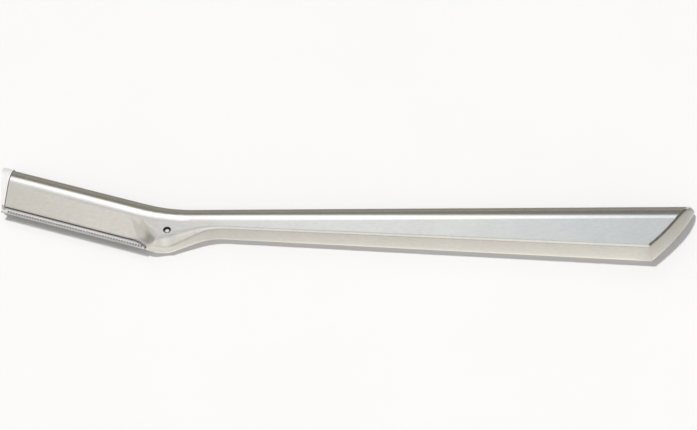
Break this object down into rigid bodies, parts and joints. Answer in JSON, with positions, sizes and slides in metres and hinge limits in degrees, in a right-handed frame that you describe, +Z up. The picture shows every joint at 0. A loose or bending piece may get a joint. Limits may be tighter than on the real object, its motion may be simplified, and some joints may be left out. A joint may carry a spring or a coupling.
{
  "type": "eyebrow razor",
  "caption": "Slim satin metal eyebrow razor: flat tapered handle with a slanted end, bent head, and a guarded blade on a white plastic carrier that slides out of the head.",
  "frame": {"origin": "on the flat underside, on the axis of the neck pin", "axes": "+X along the handle to its slanted end, +Y to the back, away from the cutting edge, +Z up"},
  "size_m": [0.1486, 0.0252, 0.0057],
  "materials": {
    "satin_metal": "satin",
    "pin_steel": "satin",
    "white_plastic": "semi-gloss",
    "blade_steel": "polished",
    "guard_steel": "fine brushed"
  },
  "bodies": {
    "razor_body": {"handle": "satin_metal", "neck_pin": "pin_steel"},
    "cartridge": {"blade_carrier": "white_plastic", "razor_blade": "blade_steel", "skin_guard": "guard_steel"}
  },
  "joints": [
    {"name": "cartridge_slide", "type": "slide", "parent": "razor_body", "child": "cartridge", "axis": [-0.9511, 0.309, 0], "range_m": [0, 0.042]}
  ]
}
